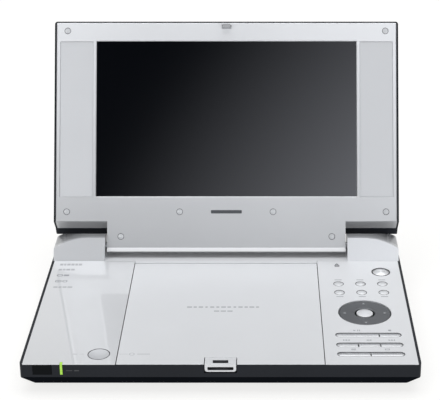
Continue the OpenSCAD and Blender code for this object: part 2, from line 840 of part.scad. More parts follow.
module latch_tab() {
    face_y = front_y - 0.4;
    slot_y0 = -90.6;
    slot_y1 = -86.7;
    color("#e4e6e8") difference() {
        union() {
            bar(-latch_half, latch_half, front_y, latch_back, 18.4, top_z);
            translate([0, face_y + 1.8, (latch_low + top_z) / 2]) rotate([90, 0, 0])
                linear_extrude(1.8) difference() {
                    round_rect(2 * latch_half, top_z - latch_low, 1.8);
                    translate([0, -0.3]) round_rect(16.7, 2.6, 0.6);
                }
            bar(-latch_half, latch_half, face_y, face_y + 1.8, top_z - 2, top_z);
        }
        bar(-5, 5, slot_y0, slot_y1, 18, top_z + eps);
    }
}

module volume_wheel() {
    color("#46494e") difference() {
        post(wheel_x, wheel_y, wheel_z, wheel_z + wheel_t, wheel_r);
        post(wheel_x, wheel_y, wheel_z - eps, wheel_z + wheel_t + eps, 1.56);
        for (a = [0:10:350]) translate([wheel_x, wheel_y, 0]) rotate([0, 0, a])
            bar(wheel_r - 0.35, wheel_r + 1, -0.3, 0.3, wheel_z - eps, wheel_z + wheel_t + eps);
    }
}

module turntable() {
    color("#26282b") {
        post(0, disc_y, 8, 13, 1);
        post(0, disc_y, 11.6, 13.2, 4);
        post(0, disc_y, 12.8, 15, 14.5);
        post(0, disc_y, 15, 16.7, hub_r);
        translate([0, disc_y, 16.7]) cylinder(r1 = hub_r, r2 = 5, h = 0.5);
    }
}

module pickup() {
    color("#4a4d52") difference() {
        union() {
            bar(-13, 13, lens_y - 9, lens_y + 9, 7.4, 12);
            bar(-rod_x - 3, -12, lens_y - 9, lens_y + 9, 7.4, 11.1);
            bar(12, rod_x + 3, lens_y - 4, lens_y + 4, 7.4, 11.1);
            bar(rod_x + 2, screw_x + 2.6, lens_y - 3, lens_y + 3, 7.4, 11.1);
        }
        for (x = [-rod_x, rod_x]) rod(x, lens_y - 10, lens_y + 10, rod_z, rod_r + 0.05);
        rod(screw_x, lens_y - 10, lens_y + 10, rod_z, screw_r + 0.05);
        post(0, lens_y, 11, 12 + eps, 4.2);
    }
}

module pickup_lens() {
    color("#7fa0d8") {
        post(0, lens_y, 11, 12.2, 4.1);
        intersection() {
            post(0, lens_y, 12, 13, 2.6);
            translate([0, lens_y, 13 - 6]) sphere(r = 6, $fn = 96);
        }
    }
}

module lead_screw() {
    color("#c8ccd2") {
        rod(screw_x, -14.2, rod_back + 1.5, rod_z, screw_r);
        rod(screw_x, -20, -14.1, rod_z, 0.8);
    }
}

base_shell();
left_panel();
key_panel();
rear_deck();
ear_covers();
disc_deck();
chassis();
spindle_motor();
guide_rods();
sled_motor();
main_board();
key_board();
battery_pack();
ir_window();
led_pipe();
feet();
base_screws();
jacks();
dc_inlet();
volume_pot();
base_hinges();
disc_lid();
disc_lid_frame();
disc_lid_hook();
lid_cover();
bezel();
side_plates();
screen_glass();
lcd_module();
speakers();
screw_caps();
screen_hook();
screen_hinges();
open_button();
catch_slider();
power_button();
round_key(0);  // round_key_1
round_key(1);  // round_key_2
round_key(2);  // round_key_3
round_key(3);  // round_key_4
round_key(4);  // round_key_5
round_key(5);  // round_key_6
dpad_ring();
dpad_cross();
enter_key();
bar_key(0, 0);  // bar_key_1
bar_key(0, 1);  // bar_key_2
bar_key(1, 0);  // bar_key_3
bar_key(1, 1);  // bar_key_4
bar_key(1, 2);  // bar_key_5
bar_key(2, 0);  // bar_key_6
bar_key(2, 1);  // bar_key_7
latch_tab();
volume_wheel();
turntable();
pickup();
pickup_lens();
lead_screw();
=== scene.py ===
"""Looks of the clamshell disc player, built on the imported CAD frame. Metres, CAD frame."""

import json
import math

import bmesh
import bpy
from mathutils import Matrix, Vector


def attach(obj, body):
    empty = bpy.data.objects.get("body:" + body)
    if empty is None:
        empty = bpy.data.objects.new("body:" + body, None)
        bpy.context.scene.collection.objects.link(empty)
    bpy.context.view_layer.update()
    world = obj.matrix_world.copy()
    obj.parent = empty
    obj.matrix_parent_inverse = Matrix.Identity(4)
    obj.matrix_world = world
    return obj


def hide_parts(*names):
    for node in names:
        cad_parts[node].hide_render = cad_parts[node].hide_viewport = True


MM = 0.001
WELD = 0.002 * MM

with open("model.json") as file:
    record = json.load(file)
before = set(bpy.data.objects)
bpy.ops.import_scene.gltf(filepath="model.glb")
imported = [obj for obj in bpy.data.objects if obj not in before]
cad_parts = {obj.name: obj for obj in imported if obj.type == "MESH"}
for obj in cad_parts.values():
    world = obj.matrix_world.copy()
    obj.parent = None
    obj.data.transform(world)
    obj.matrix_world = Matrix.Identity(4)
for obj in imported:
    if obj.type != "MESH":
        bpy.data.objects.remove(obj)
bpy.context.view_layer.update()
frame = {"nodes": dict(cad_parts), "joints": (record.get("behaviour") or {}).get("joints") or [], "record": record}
NODES = frame["nodes"]
HINGE = next(joint for joint in frame["joints"] if joint["name"] == "screen_hinge")
BODY_OF = {n: b for b, ns in frame["record"]["behaviour"]["bodies"].items() for n in ns}
SLOT_OF = {s["node"]: s["material_slot"] for s in frame["record"]["subparts"]}


# ---------------------------------------------------------------- measures of the frame, in millimetres

def corners(points):
    """The low and high corners of the box round some points."""
    low = Vector([min(p[i] for p in points) for i in range(3)])
    high = Vector([max(p[i] for p in points) for i in range(3)])
    return low, high


def box_of(*names):
    """The low and high corners of the box round some nodes."""
    return corners([v.co / MM for n in names for v in NODES[n].data.vertices])


def centre_of(*names):
    low, high = box_of(*names)
    return (low + high) / 2


def box_width(name):
    low, high = box_of(name)
    return high.x - low.x


def solid_centres(node):
    """The centre of each separate solid of a node, from left to right and front to back."""
    bm = bmesh.new()
    bm.from_mesh(NODES[node].data)
    bmesh.ops.remove_doubles(bm, verts=bm.verts, dist=WELD)
    left = set(bm.verts)
    centres = []
    while left:
        found = [left.pop()]
        for vert in found:
            near = {edge.other_vert(vert) for edge in vert.link_edges} & left
            left -= near
            found += near
        low, high = corners([vert.co / MM for vert in found])
        centres.append((low + high) / 2)
    bm.free()
    return sorted(centres, key=lambda at: (round(at.x), round(at.y)))


TOP = box_of("key_panel")[1].z
ROUND_KEYS = ["round_key_%d" % i for i in range(1, 7)]
BAR_ROWS = (("bar_key_1", "bar_key_2"), ("bar_key_3", "bar_key_4", "bar_key_5"), ("bar_key_6", "bar_key_7"))


# ---------------------------------------------------------------- materials

def node_tools(name):
    """A new node material, its tree and its shader."""
    mat = bpy.data.materials.new(name)
    mat.use_nodes = True
    tree = mat.node_tree
    return mat, tree, tree.nodes["Principled BSDF"]


def object_noise(tree, scale, detail=3.0, rough=0.5, stretch=(1, 1, 1)):
    """A noise factor in object space, stretched along the axes."""
    coords = tree.nodes.new("ShaderNodeTexCoord")
    mapping = tree.nodes.new("ShaderNodeMapping")
    mapping.inputs["Scale"].default_value = stretch
    noise = tree.nodes.new("ShaderNodeTexNoise")
    noise.inputs["Scale"].default_value = scale
    noise.inputs["Detail"].default_value = detail
    noise.inputs["Roughness"].default_value = rough
    tree.links.new(coords.outputs["Object"], mapping.inputs["Vector"])
    tree.links.new(mapping.outputs["Vector"], noise.inputs["Vector"])
    return noise.outputs["Fac"]


def ramp(tree, source, low, high, start=0.3, end=0.7):
    """Maps a factor onto a run between two colours."""
    node = tree.nodes.new("ShaderNodeValToRGB")
    node.color_ramp.elements[0].position = start
    node.color_ramp.elements[1].position = end
    node.color_ramp.elements[0].color = (*low, 1)
    node.color_ramp.elements[1].color = (*high, 1)
    tree.links.new(source, node.inputs["Fac"])
    return node.outputs["Color"]


def map_range(tree, source, low, high, start=0.0, end=1.0):
    """Maps a factor's run from start to end onto low to high."""
    node = tree.nodes.new("ShaderNodeMapRange")
    node.inputs["From Min"].default_value = start
    node.inputs["From Max"].default_value = end
    node.inputs["To Min"].default_value = low
    node.inputs["To Max"].default_value = high
    tree.links.new(source, node.inputs["Value"])
    return node.outputs["Result"]


def math_node(tree, operation, first, *values):
    """One sum on a factor, with constants as its other values."""
    node = tree.nodes.new("ShaderNodeMath")
    node.operation = operation
    tree.links.new(first, node.inputs[0])
    for slot, value in enumerate(values, 1):
        node.inputs[slot].default_value = value
    return node.outputs["Value"]


def scaled(tree, colour, gain):
    """A colour, given as a constant or as another node's output, times a gain."""
    node = tree.nodes.new("ShaderNodeVectorMath")
    node.operation = "SCALE"
    if isinstance(colour, tuple):
        node.inputs[0].default_value = colour
    else:
        tree.links.new(colour, node.inputs[0])
    tree.links.new(gain, node.inputs["Scale"])
    return node.outputs["Vector"]


def bump(tree, shader, source, strength, distance):
    node = tree.nodes.new("ShaderNodeBump")
    node.inputs["Strength"].default_value = strength
    node.inputs["Distance"].default_value = distance
    tree.links.new(source, node.inputs["Height"])
    tree.links.new(node.outputs["Normal"], shader.inputs["Normal"])


def shade(colour, k):
    return tuple(min(1.0, c * k) for c in colour)


def paint_axis_shading(tree, source, axis, stops):
    """Scales a colour by a gain that runs along an axis, through (place, gain) stops: painted light and shade."""
    first, last = stops[0][0], stops[-1][0]
    top_gain = max(gain for _, gain in stops)
    coords = tree.nodes.new("ShaderNodeTexCoord")
    split = tree.nodes.new("ShaderNodeSeparateXYZ")
    tree.links.new(coords.outputs["Object"], split.inputs["Vector"])
    curve = tree.nodes.new("ShaderNodeValToRGB")
    for k, (place, gain) in enumerate(stops):
        spot = (place - first) / (last - first)
        if k in (0, len(stops) - 1):
            stop = curve.color_ramp.elements[0 if k == 0 else -1]
            stop.position = spot
        else:
            stop = curve.color_ramp.elements.new(spot)
        stop.color = (gain / top_gain, gain / top_gain, gain / top_gain, 1)
    tree.links.new(map_range(tree, split.outputs[axis], 0.0, 1.0, first, last), curve.inputs["Fac"])
    return scaled(tree, source, math_node(tree, "MULTIPLY", curve.outputs["Color"], top_gain))


def moulded(name, colour, rough, metal=0.0, coat=0.0, coat_rough=0.05, grain=9000, relief=0.12,
            vary=0.05, specular=0.5, coat_ior=1.5, fade=None):
    """Moulded or painted plastic: slow mottling, fine grain and uneven gloss; a fade, when given, is painted light
    and shade along an axis.
    """
    mottle_scale = 18
    least_rough, rough_spread = 0.02, 0.06
    grain_height = 0.02 * MM
    mat, tree, shader = node_tools(name)
    slow = object_noise(tree, mottle_scale)
    fine = object_noise(tree, grain, 2, 0.6)
    tone = ramp(tree, slow, shade(colour, 1 - vary), shade(colour, 1 + vary))
    gloss = map_range(tree, fine, max(least_rough, rough - rough_spread), rough + rough_spread)
    # painted light and shade along an axis, when a fade is given
    painted = paint_axis_shading(tree, tone, *fade) if fade else tone
    tree.links.new(painted, shader.inputs["Base Color"])
    tree.links.new(gloss, shader.inputs["Roughness"])
    shader.inputs["Metallic"].default_value = metal
    shader.inputs["Specular IOR Level"].default_value = specular
    shader.inputs["Coat Weight"].default_value = coat
    shader.inputs["Coat Roughness"].default_value = coat_rough
    shader.inputs["Coat IOR"].default_value = coat_ior
    bump(tree, shader, fine, relief, grain_height)
    return mat


def brushed(name, colour, rough):
    """Drawn or ground metal with fine lines along X."""
    line_scale, across_lines = 260, 40
    mat, tree, shader = node_tools(name)
    lines = object_noise(tree, line_scale, 4, 0.6, (1, across_lines, across_lines))
    tone = ramp(tree, lines, shade(colour, 0.8), shade(colour, 1.15))
    gloss = map_range(tree, lines, rough * 0.7, rough * 1.4)
    tree.links.new(tone, shader.inputs["Base Color"])
    tree.links.new(gloss, shader.inputs["Roughness"])
    shader.inputs["Metallic"].default_value = 1.0
    bump(tree, shader, lines, 0.15, 0.02 * MM)
    return mat


def circuit(name):
    """Green solder mask with copper runs under it."""
    mat, tree, shader = node_tools(name)
    coords = tree.nodes.new("ShaderNodeTexCoord")
    runs = tree.nodes.new("ShaderNodeTexBrick")
    runs.inputs["Scale"].default_value = 160
    runs.inputs["Mortar Size"].default_value = 0.03
    runs.inputs["Color1"].default_value = (0.012, 0.11, 0.04, 1)
    runs.inputs["Color2"].default_value = (0.016, 0.14, 0.05, 1)
    runs.inputs["Mortar"].default_value = (0.05, 0.26, 0.08, 1)
    tree.links.new(coords.outputs["Object"], runs.inputs["Vector"])
    tree.links.new(runs.outputs["Color"], shader.inputs["Base Color"])
    shader.inputs["Roughness"].default_value = 0.35
    bump(tree, shader, runs.outputs["Fac"], 0.3, 0.05 * MM)
    return mat


def display(name):
    """Switched-off display behind a softly diffusing black surface."""
    mat, tree, shader = node_tools(name)
    fine = object_noise(tree, 6000, 2)
    tone = ramp(tree, fine, (0.0004, 0.0008, 0.0016), (0.0007, 0.0012, 0.0022))
    gloss = map_range(tree, fine, 0.09, 0.11)
    tree.links.new(tone, shader.inputs["Base Color"])
    tree.links.new(gloss, shader.inputs["Roughness"])
    shader.inputs["IOR"].default_value = 1.79
    shader.inputs["Specular Tint"].default_value = (0.93, 0.94, 1.0, 1)
    return mat


def lamp(name, colour, strength):
    """A light pipe that glows a little."""
    mat, tree, shader = node_tools(name)
    fine = object_noise(tree, 900, 2)
    tone = ramp(tree, fine, shade(colour, 0.85), colour)
    tree.links.new(tone, shader.inputs["Base Color"])
    tree.links.new(tone, shader.inputs["Emission Color"])
    shader.inputs["Emission Strength"].default_value = strength
    shader.inputs["Roughness"].default_value = 0.2
    return mat


def painted_glint_fans(name, colour, rough, metal, centre):
    """Metal with painted highlights and painted shade: light and dark fans round a centre, in the way spun, turned
    faces catch light.
    """
    fans_around = 2
    dark_gain, bright_gain = 0.68, 1.06
    mat, tree, shader = node_tools(name)
    coords = tree.nodes.new("ShaderNodeTexCoord")
    mapping = tree.nodes.new("ShaderNodeMapping")
    mapping.inputs["Location"].default_value = (-centre.x * MM, -centre.y * MM, 0)
    around = tree.nodes.new("ShaderNodeTexGradient")
    around.gradient_type = "RADIAL"
    tree.links.new(coords.outputs["Object"], mapping.inputs["Vector"])
    tree.links.new(mapping.outputs["Vector"], around.inputs["Vector"])
    angle = math_node(tree, "MULTIPLY_ADD", around.outputs["Fac"], 2 * math.pi * fans_around, -math.pi / 2)
    wave = math_node(tree, "SINE", angle)
    tone = scaled(tree, colour, map_range(tree, wave, dark_gain, bright_gain, -1.0, 1.0))
    tree.links.new(tone, shader.inputs["Base Color"])
    shader.inputs["Metallic"].default_value = metal
    shader.inputs["Roughness"].default_value = rough
    return mat


# painted light and shade as colour gains along an axis in metres: the top panels darken toward the front edge, the
# ear covers behind the brow of their front slope, and the bezel toward the hinge and lightens toward its top
# painted shade: the top panels darker toward the front edge
PANEL_PAINTED_SHADE = ("Y", ((-0.090, 0.91), (0.065, 1.055)))
# painted shade: the ear covers darker behind the brow of their front slope
EAR_PAINTED_SHADE = ("Y", ((0.060, 1.0), (0.0684, 1.0), (0.0715, 0.72), (0.090, 0.78)))
# painted shade toward the hinge and the barrel lip, painted light toward the bezel's top
BEZEL_PAINTED_SHADING = ("Z", ((0.0235, 0.40), (0.0270, 0.69), (0.060, 0.80), (0.175, 1.17)))

MATS = {
    "dark_shell": moulded("dark_shell", (0.0085, 0.0105, 0.0150), 0.40, grain=5200, relief=0.2, vary=0.12,
                          specular=0.18),
    # painted shade: a darker, matt copy of the shell's colour for the faces that turn down
    "shell_shaded_under": moulded("shell_shaded_under", (0.0050, 0.0060, 0.0080), 0.85, grain=5200, relief=0.2, vary=0.12,
                           specular=0.0),
    "gloss_silver": moulded("gloss_silver", (0.65, 0.66, 0.68), 0.34, metal=0.25, coat=1.0, coat_rough=0.02,
                            relief=0.0, vary=0.015, coat_ior=1.7, fade=PANEL_PAINTED_SHADE),
    "satin_silver": moulded("satin_silver", (0.66, 0.67, 0.69), 0.42, metal=0.25, vary=0.015,
                            fade=PANEL_PAINTED_SHADE),
    "satin_bezel": moulded("satin_bezel", (0.68, 0.69, 0.71), 0.34, metal=0.50, vary=0.02, fade=BEZEL_PAINTED_SHADING),
    "plate_silver": moulded("plate_silver", (0.555, 0.565, 0.585), 0.45, metal=0.25, vary=0.015),
    "ear_silver": moulded("ear_silver", (0.62, 0.63, 0.65), 0.30, metal=0.60, vary=0.015, fade=EAR_PAINTED_SHADE),
    "dark_plastic": moulded("dark_plastic", (0.030, 0.032, 0.036), 0.5, grain=4200, relief=0.3, vary=0.1),
    "steel": brushed("steel", (0.50, 0.51, 0.53), 0.32),
    "circuit_board": circuit("circuit_board"),
    "battery_wrap": moulded("battery_wrap", (0.05, 0.13, 0.34), 0.3, grain=700, relief=0.3, coat=0.3),
    "lamp_green": lamp("lamp_green", (0.34, 0.62, 0.06), 0.22),
    "foot_rubber": moulded("foot_rubber", (0.015, 0.015, 0.016), 0.75, grain=3000, relief=0.5),
    "screen_gloss": display("screen_gloss"),
    "lcd_frame": brushed("lcd_frame", (0.45, 0.46, 0.48), 0.4),
    "cap_grey": moulded("cap_grey", (0.50, 0.51, 0.53), 0.30, coat=0.5),
    "key_silver": moulded("key_silver", (0.645, 0.655, 0.675), 0.30, metal=0.3, vary=0.01),
    # the power button's light and dark fans are painted highlights and painted shade
    "chrome_button": painted_glint_fans("chrome_button", (0.82, 0.83, 0.85), 0.33, 0.28, centre_of("power_button")),
    "ring_grey": moulded("ring_grey", (0.110, 0.115, 0.123), 0.36, metal=0.55, vary=0.03),
    "lens": moulded("lens", (0.05, 0.09, 0.22), 0.08, coat=1.0, relief=0.0),
    "window_black": moulded("window_black", (0.0022, 0.003, 0.004), 0.16, relief=0.0, specular=0.07),
    "dish_silver": moulded("dish_silver", (0.46, 0.47, 0.49), 0.5, metal=0.2, vary=0.01),
    "felt": moulded("felt", (0.02, 0.02, 0.022), 0.95, grain=2600, relief=3.0, vary=0.3, specular=0.1),
    "label_paper": moulded("label_paper", (0.55, 0.56, 0.57), 0.6, grain=800, relief=0.1),
    "print_grey": moulded("print_grey", (0.27, 0.28, 0.30), 0.5),
    "print_faint": moulded("print_faint", (0.36, 0.37, 0.39), 0.5),
    "print_dark": moulded("print_dark", (0.045, 0.048, 0.055), 0.45),
    "print_pale": moulded("print_pale", (0.30, 0.31, 0.32), 0.5),
    "print_shell": moulded("print_shell", (0.06, 0.062, 0.066), 0.5, specular=0.2),
    "badge_dark": moulded("badge_dark", (0.075, 0.08, 0.088), 0.25, metal=0.4, vary=0.05),
    "gap_shadow": moulded("gap_shadow", (0.06, 0.062, 0.068), 0.7, specular=0.15),
    # painted shadow: near-black for sheets laid in gaps and slots where there is only shade
    "seam_shadow": moulded("seam_shadow", (0.018, 0.019, 0.022), 0.8, specular=0.1),
}

# nodes whose look differs from their record slot
NODE_LOOK = {"bezel": "satin_bezel", "ir_window": "window_black", "side_plates": "plate_silver",
             "ear_covers": "ear_silver", "screen_hook": "ear_silver", "open_button": "dish_silver"}


def look_of(node):
    return NODE_LOOK.get(node, SLOT_OF[node])


for node_name, cad in NODES.items():
    cad.data.materials.clear()
    cad.data.materials.append(MATS[look_of(node_name)])


# ---------------------------------------------------------------- rounded copies of the CAD's shells

def add_piece(name, mesh, body, look):
    piece = bpy.data.objects.new(name, mesh)
    bpy.context.scene.collection.objects.link(piece)
    mesh.materials.clear()
    mesh.materials.append(MATS[look])
    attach(piece, body)
    return piece


def softened(node, width, under=None):
    """The node's form with its sharp edges rounded over, in place of the node.

    A second look can be given for the faces that turn down: a darker copy that paints shade on them.
    """
    flat_angle, edge_angle = math.radians(0.5), math.radians(32)
    turns_down = -0.15
    mesh = bpy.data.meshes.new(node + "_soft")
    bm = bmesh.new()
    bm.from_mesh(NODES[node].data)
    bmesh.ops.remove_doubles(bm, verts=bm.verts, dist=WELD)
    bmesh.ops.dissolve_limit(bm, angle_limit=flat_angle, verts=bm.verts, edges=bm.edges)
    bm.to_mesh(mesh)
    bm.free()
    piece = add_piece(node + "_soft", mesh, BODY_OF[node], look_of(node))
    if under is not None:
        mesh.materials.append(MATS[under])
        for face in mesh.polygons:
            face.material_index = 1 if face.normal.z < turns_down else 0
    round_over = piece.modifiers.new("round_over", "BEVEL")
    round_over.width = width * MM
    round_over.segments = 3
    round_over.limit_method = "ANGLE"
    round_over.angle_limit = edge_angle
    round_over.use_clamp_overlap = True
    mesh.shade_smooth()
    even = piece.modifiers.new("even_normals", "WEIGHTED_NORMAL")
    even.weight = 100
    even.keep_sharp = True
    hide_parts(node)


# widths of the rounded edges
SOFT_EDGES = {"lid_cover": 0.6, "bezel": 0.35, "ear_covers": 0.4, "key_panel": 0.2, "left_panel": 0.2,
              "disc_lid": 0.25, "latch_tab": 0.35, "dpad_ring": 0.2, "rear_deck": 0.2}

# the shell's down-turned faces get the painted shade
softened("base_shell", 0.5, under="shell_shaded_under")
for soft_node, edge_width in SOFT_EDGES.items():
    softened(soft_node, edge_width)


# ---------------------------------------------------------------- flat outlines, in millimetres

def oblong(x, y, w, h, r=0.0, steps=6):
    """A rectangle round (x, y), with round corners."""
    if r == 0.0:
        return [(x + i * w / 2, y + j * h / 2) for i, j in ((-1, -1), (1, -1), (1, 1), (-1, 1))]
    points = []
    for i, j, start in ((1, 1, 0), (-1, 1, 90), (-1, -1, 180), (1, -1, 270)):
        for k in range(steps + 1):
            a = math.radians(start + 90 * k / steps)
            points.append((x + i * (w / 2 - r) + r * math.cos(a), y + j * (h / 2 - r) + r * math.sin(a)))
    return points


def circle(x, y, r, steps=56):
    return [(x + r * math.cos(2 * math.pi * k / steps), y + r * math.sin(2 * math.pi * k / steps))
            for k in range(steps)]


def arrow(x, y, size, turn):
    """A triangle pointing along an angle in degrees."""
    return [(x + size * math.cos(math.radians(turn + a)), y + size * math.sin(math.radians(turn + a)))
            for a in (0, 125, 235)]


def oblong_ring(x, y, w, h, wall, r=0.0, inner_r=0.0):
    """The outer and inner edges of a rectangular frame, sized over its outside."""
    return oblong(x, y, w, h, r), oblong(x, y, w - 2 * wall, h - 2 * wall, inner_r)


def circle_ring(at, outer_r, inner_r):
    """The outer and inner edges of a flat ring."""
    return circle(at[0], at[1], outer_r), circle(at[0], at[1], inner_r)


# ---------------------------------------------------------------- sheets that thin plates lie on

def facing(across, up, outward):
    """Takes (across, up, outward) on a sheet to the directions given for them."""
    return Matrix((across, up, outward)).transposed().to_4x4()


FLAT = Matrix()
TO_FRONT = facing((1, 0, 0), (0, 0, 1), (0, -1, 0))
TO_BACK = facing((-1, 0, 0), (0, 0, 1), (0, 1, 0))
TO_LEFT = facing((0, 1, 0), (0, 0, 1), (-1, 0, 0))

# the closed screen lies flat, so it leans back by what its hinge turns past a right angle
LEAN = math.radians(-HINGE["range_deg"][0] - 90)
FOOT_BEFORE_HINGE = 8.5
FOOT = Vector((0, HINGE["pos_m"][1] - FOOT_BEFORE_HINGE * MM, TOP * MM))
SCREEN = Matrix.Translation(FOOT) @ Matrix.Rotation(-LEAN, 4, "X")
FRONT_FACE = SCREEN @ TO_FRONT
BACK_FACE = SCREEN @ TO_BACK

# how far printed marks reach above and below a surface
INK = 0.03


def bridge(bm, first, second):
    """Faces between two closed rows of as many points."""
    for k in range(len(first)):
        n = (k + 1) % len(first)
        bm.faces.new((first[k], first[n], second[n], second[k]))


def plates(name, outlines, low, high, body, look, sheet=FLAT):
    """Thin plates between two heights; an outline given as a pair is an outer and an inner edge."""
    bm = bmesh.new()
    for outline in outlines:
        rims = outline if isinstance(outline, tuple) else (outline,)
        walls = []
        for rim in rims:
            walls.append([[bm.verts.new(sheet @ Vector((x * MM, y * MM, z * MM))) for x, y in rim]
                          for z in (low, high)])
        for under, over in walls:
            bridge(bm, under, over)
        if len(walls) == 1:
            for rim in walls[0]:
                bm.faces.new(rim)
        else:
            for outer, inner in zip(*walls):
                bridge(bm, outer, inner)
    bmesh.ops.recalc_face_normals(bm, faces=bm.faces)
    mesh = bpy.data.meshes.new(name)
    bm.to_mesh(mesh)
    bm.free()
    add_piece(name, mesh, body, look)


def printed(name, outlines, body, look):
    """Ink on a top panel."""
    plates(name, outlines, TOP - INK, TOP + INK, body, look)


# ---------------------------------------------------------------- printed marks

def key_symbols():
    """Plain transport symbols behind the bar keys, and dashes by the round keys."""
    head, bar_w, bar_h = 1.1, 0.55, 2.0
    behind_bar, beside_round = 6.2, 6.4

    def bars(x, y, *offsets):
        return [oblong(x + d, y, bar_w, bar_h) for d in offsets]

    def heads(x, y, turn, *offsets):
        return [arrow(x + d, y, head, turn) for d in offsets]

    signs = {
        "bar_key_1": lambda x, y: heads(x, y, 0, -1.6) + bars(x, y, 0.6, 1.8),
        "bar_key_2": lambda x, y: [oblong(x, y, 1.9, 1.9)],
        "bar_key_3": lambda x, y: heads(x, y, 180, -0.6, 1.2) + bars(x, y, -2.1),
        "bar_key_4": lambda x, y: heads(x, y, 180, -0.9, 0.9),
        "bar_key_5": lambda x, y: heads(x, y, 0, -1.2, 0.6) + bars(x, y, 2.1),
        "bar_key_6": lambda x, y: [oblong(x, y + d, 3.0, 0.42) for d in (-0.8, 0, 0.8)],
        "bar_key_7": lambda x, y: [oblong_ring(x, y, 3.0, 2.0, 0.45)],
    }
    shapes = []
    for key, sign in signs.items():
        at = centre_of(key)
        shapes += sign(at.x, at.y + behind_bar)
    for key in ROUND_KEYS:
        at = centre_of(key)
        side = beside_round if key in ROUND_KEYS[:3] else -beside_round
        shapes.append(oblong(at.x, at.y + side, 5.0, 0.8))
    printed("key_symbols", shapes, "base", "print_grey")


def open_symbol():
    """A lift-up sign behind the keys: a triangle over a line."""
    low, high = box_of("key_panel")
    x, y = low.x + 14.3, high.y - 6.5
    triangle = (arrow(x, y, 2.5, 90), arrow(x, y, 0.9, 90))
    line = oblong(x, y - 2.7, 3.6, 0.9)
    printed("lift_sign", [triangle, line], "base", "print_dark")


def ring_arrows():
    """An arrow head at each quarter of the direction ring."""
    at = centre_of("dpad_ring")
    top = box_of("dpad_ring")[1].z
    reach, size = 13.8, 1.2
    shapes = [arrow(at.x + reach * math.cos(a), at.y + reach * math.sin(a), size, math.degrees(a))
              for a in (0, math.pi / 2, math.pi, 3 * math.pi / 2)]
    plates("ring_arrows", shapes, top - 0.30, top - 0.02, "dpad_ring", "print_pale")


def dash_row(left, y, height, widths, gap=0.7):
    """Dashes side by side, from the left."""
    row = []
    for w in widths:
        row.append(oblong(left + w / 2, y, w, height))
        left += w + gap
    return row


def left_panel_marks():
    """Rows of plain bars in the rear corner and dashes beside the open button."""
    low, high = box_of("left_panel")
    left, back = low.x + 5.0, high.y
    faint = []
    faint += dash_row(left, back - 6.0, 3.0, (2.2, 1.6, 2.4, 2.2, 1.8, 2.4))
    faint += dash_row(left, back - 14.5, 2.6, (2.4, 1.8, 2.8, 2.6))
    faint += dash_row(left, back - 43.0, 2.2, (3.0, 2.2, 2.8, 3.4))
    ring_y, pair_y = back - 24, back - 33.5
    strong = [
        oblong_ring(left + 2.2, ring_y, 4.4, 3.4, 0.8, 1.2, 0.6),
        oblong(left + 6.9, ring_y, 4.0, 2.4, 0.6),
        oblong_ring(left + 2.3, pair_y, 4.6, 3.4, 0.7, 1.2, 0.6),
        oblong_ring(left + 7.0, pair_y, 3.6, 3.4, 0.7, 1.2, 0.6),
        oblong(left + 2.3, pair_y, 1.4, 0.9),
    ]
    button = centre_of("open_button")
    faint.append(oblong(button.x - 15.4, button.y, 3.0, 0.9))
    faint.append(oblong(button.x - 11.0, button.y, 3.2, 0.35))
    printed("left_faint_marks", faint, "base", "print_faint")
    printed("left_marks", strong, "base", "print_grey")


def lid_marks():
    """A row of dashes across the disc lid, and a line, a circle and a bar beside the open button."""
    row_y, row_w = -13.0, 51.0
    widths = (3.4, 2.2, 3.0, 1.6, 2.8, 2.0, 3.2, 2.4, 1.8, 3.0, 2.2, 3.4, 2.0)
    pitch = row_w / len(widths)
    shapes = [oblong(pitch * (i + 0.5) - row_w / 2, row_y, w, 1.9) for i, w in enumerate(widths)]
    shapes += [oblong(4.6 * i, row_y - 6.0, 3.6, 1.7) for i in (-1, 0, 1)]
    y = centre_of("open_button").y
    edge = box_of("disc_lid")[0].x
    shapes.append(oblong(edge + 4.2, y, 6.0, 0.35))
    shapes.append(circle_ring((edge + 9.2, y), 1.75, 1.3))
    shapes.append(oblong(edge + 16.8, y, 8.4, 0.7))
    printed("lid_marks", shapes, "disc_lid", "print_faint")


def front_mark():
    """Two small dashes beside the lamp on the shell's front."""
    front = -box_of("base_shell")[0].y
    lamp_x, z = centre_of("led_pipe").x, 15.2
    shapes = [oblong(lamp_x + 5.1, z, 4.0, 0.5), oblong(lamp_x + 9.9, z, 3.0, 0.8)]
    plates("front_mark", shapes, front - INK, front + INK, "base", "print_shell", TO_FRONT)


def badges():
    """Blank badges on the screen's lower band and on its back."""
    band, back = oblong(0, 33.9, 23.0, 2.5, 0.5), oblong(0, 97.0, 38.0, 5.0, 1.2)
    plates("band_badge", [band], -0.02, 0.12, "screen", "badge_dark", FRONT_FACE)
    plates("back_badge", [back], 15.45, 15.8, "screen", "satin_silver", BACK_FACE)


def under_label():
    """A plain rating label in its seat under the base."""
    x0, x1, y0, y1 = -92, -30, -52, -22
    seat_gap = 0.3
    low, high = 1.55, 1.79
    x, y = (x0 + x1) / 2, (y0 + y1) / 2
    paper = oblong(x, y, x1 - x0 - 2 * seat_gap, y1 - y0 - 2 * seat_gap, 1.0)
    plates("under_label", [paper], low, high, "base", "label_paper")
    rows = [oblong(x - 4 + (i % 3) * 2, y0 + 5 + 3.2 * i, 40 - (i % 3) * 6, 0.9) for i in range(7)]
    rows.append(oblong_ring(x1 - 8, y1 - 7, 9, 7, 0.5, 0.6, 0.4))
    plates("under_label_rows", rows, low - 0.04, low + 0.01, "base", "print_dark")


# ---------------------------------------------------------------- painted shadows in seams and slots, and small parts

def shadow_ring_round(name, flange, shadow_width):
    """The painted shadow ring in the seam round a round key, whose box holds a hidden flange wider than its top.
    """
    radius = box_width(name) / 2 - flange
    return circle_ring(centre_of(name), radius + shadow_width, radius + 0.03)


